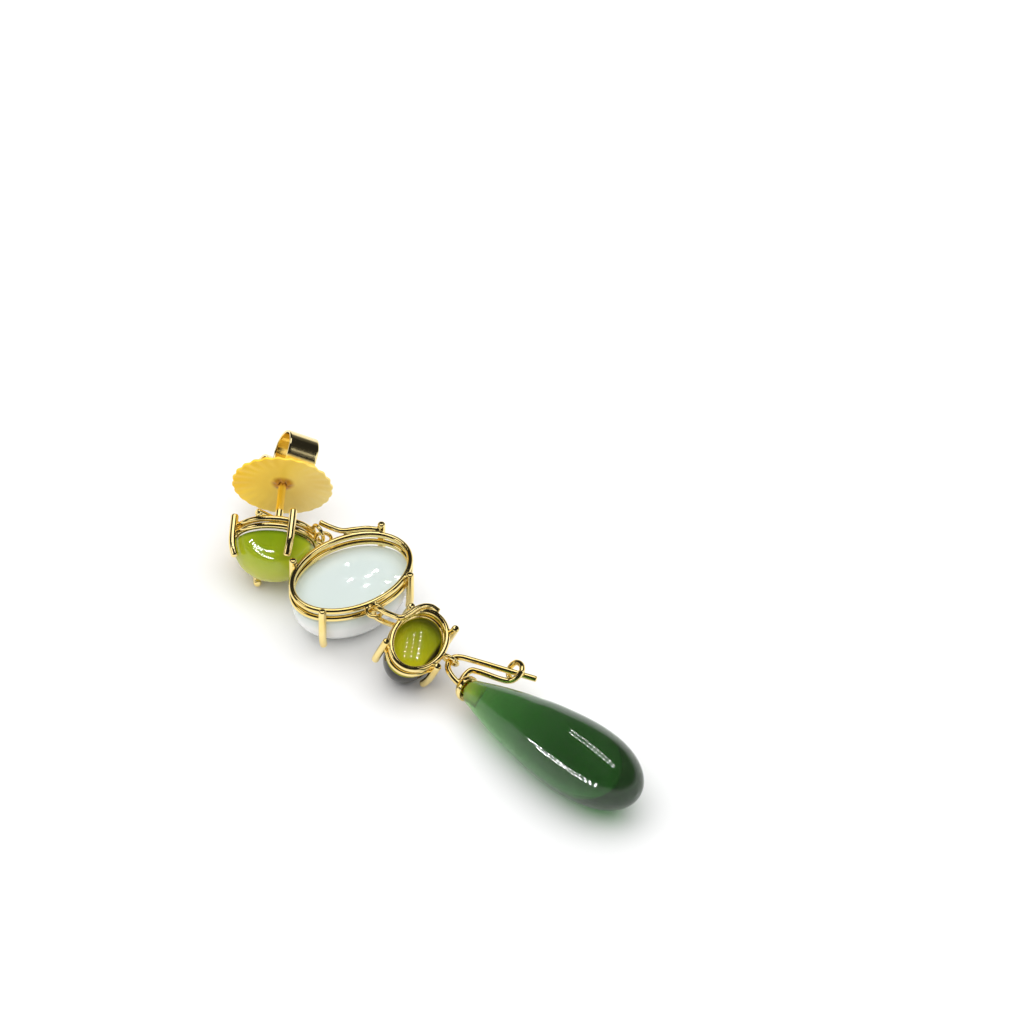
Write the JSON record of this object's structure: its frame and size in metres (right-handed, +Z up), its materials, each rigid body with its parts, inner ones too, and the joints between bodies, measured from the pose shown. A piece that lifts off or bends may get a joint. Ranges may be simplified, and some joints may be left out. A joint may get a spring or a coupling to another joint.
{
  "type": "drop earring",
  "caption": "Gold stud earring with three oval cabochons in wire settings on small eyelets and a polished green teardrop on a safety-pin clip, lying flat.",
  "frame": {"origin": "centre of the bounding box in plan, on the surface that the earring lies on", "axes": "+X along the drop's axis, from the settings towards the drop's round end; +Z up; the flat backs of the stones face up"},
  "size_m": [0.062, 0.016, 0.0127],
  "materials": {
    "gold": "polished 18 carat yellow gold",
    "satin_gold": "satin 18 carat yellow gold",
    "peridot": "polished, transparent yellow-green",
    "pale_stone": "polished, milky, slightly translucent",
    "olive_stone": "polished, dark olive",
    "jade": "polished, dark translucent green"
  },
  "bodies": {
    "earring": {"middle_setting": "gold", "middle_stone": "pale_stone", "top_setting": "gold", "top_stone": "peridot", "lower_setting": "gold", "lower_stone": "olive_stone", "drop_clip": "gold", "jade_drop": "jade"},
    "clutch": {"ear_clutch": "satin_gold"}
  },
  "joints": [
    {"name": "clutch_slide", "type": "slide", "parent": "earring", "child": "clutch", "axis": [-0.6169, 0.7591, 0.2079], "range_m": [-0.0035, 0.0045]}
  ]
}
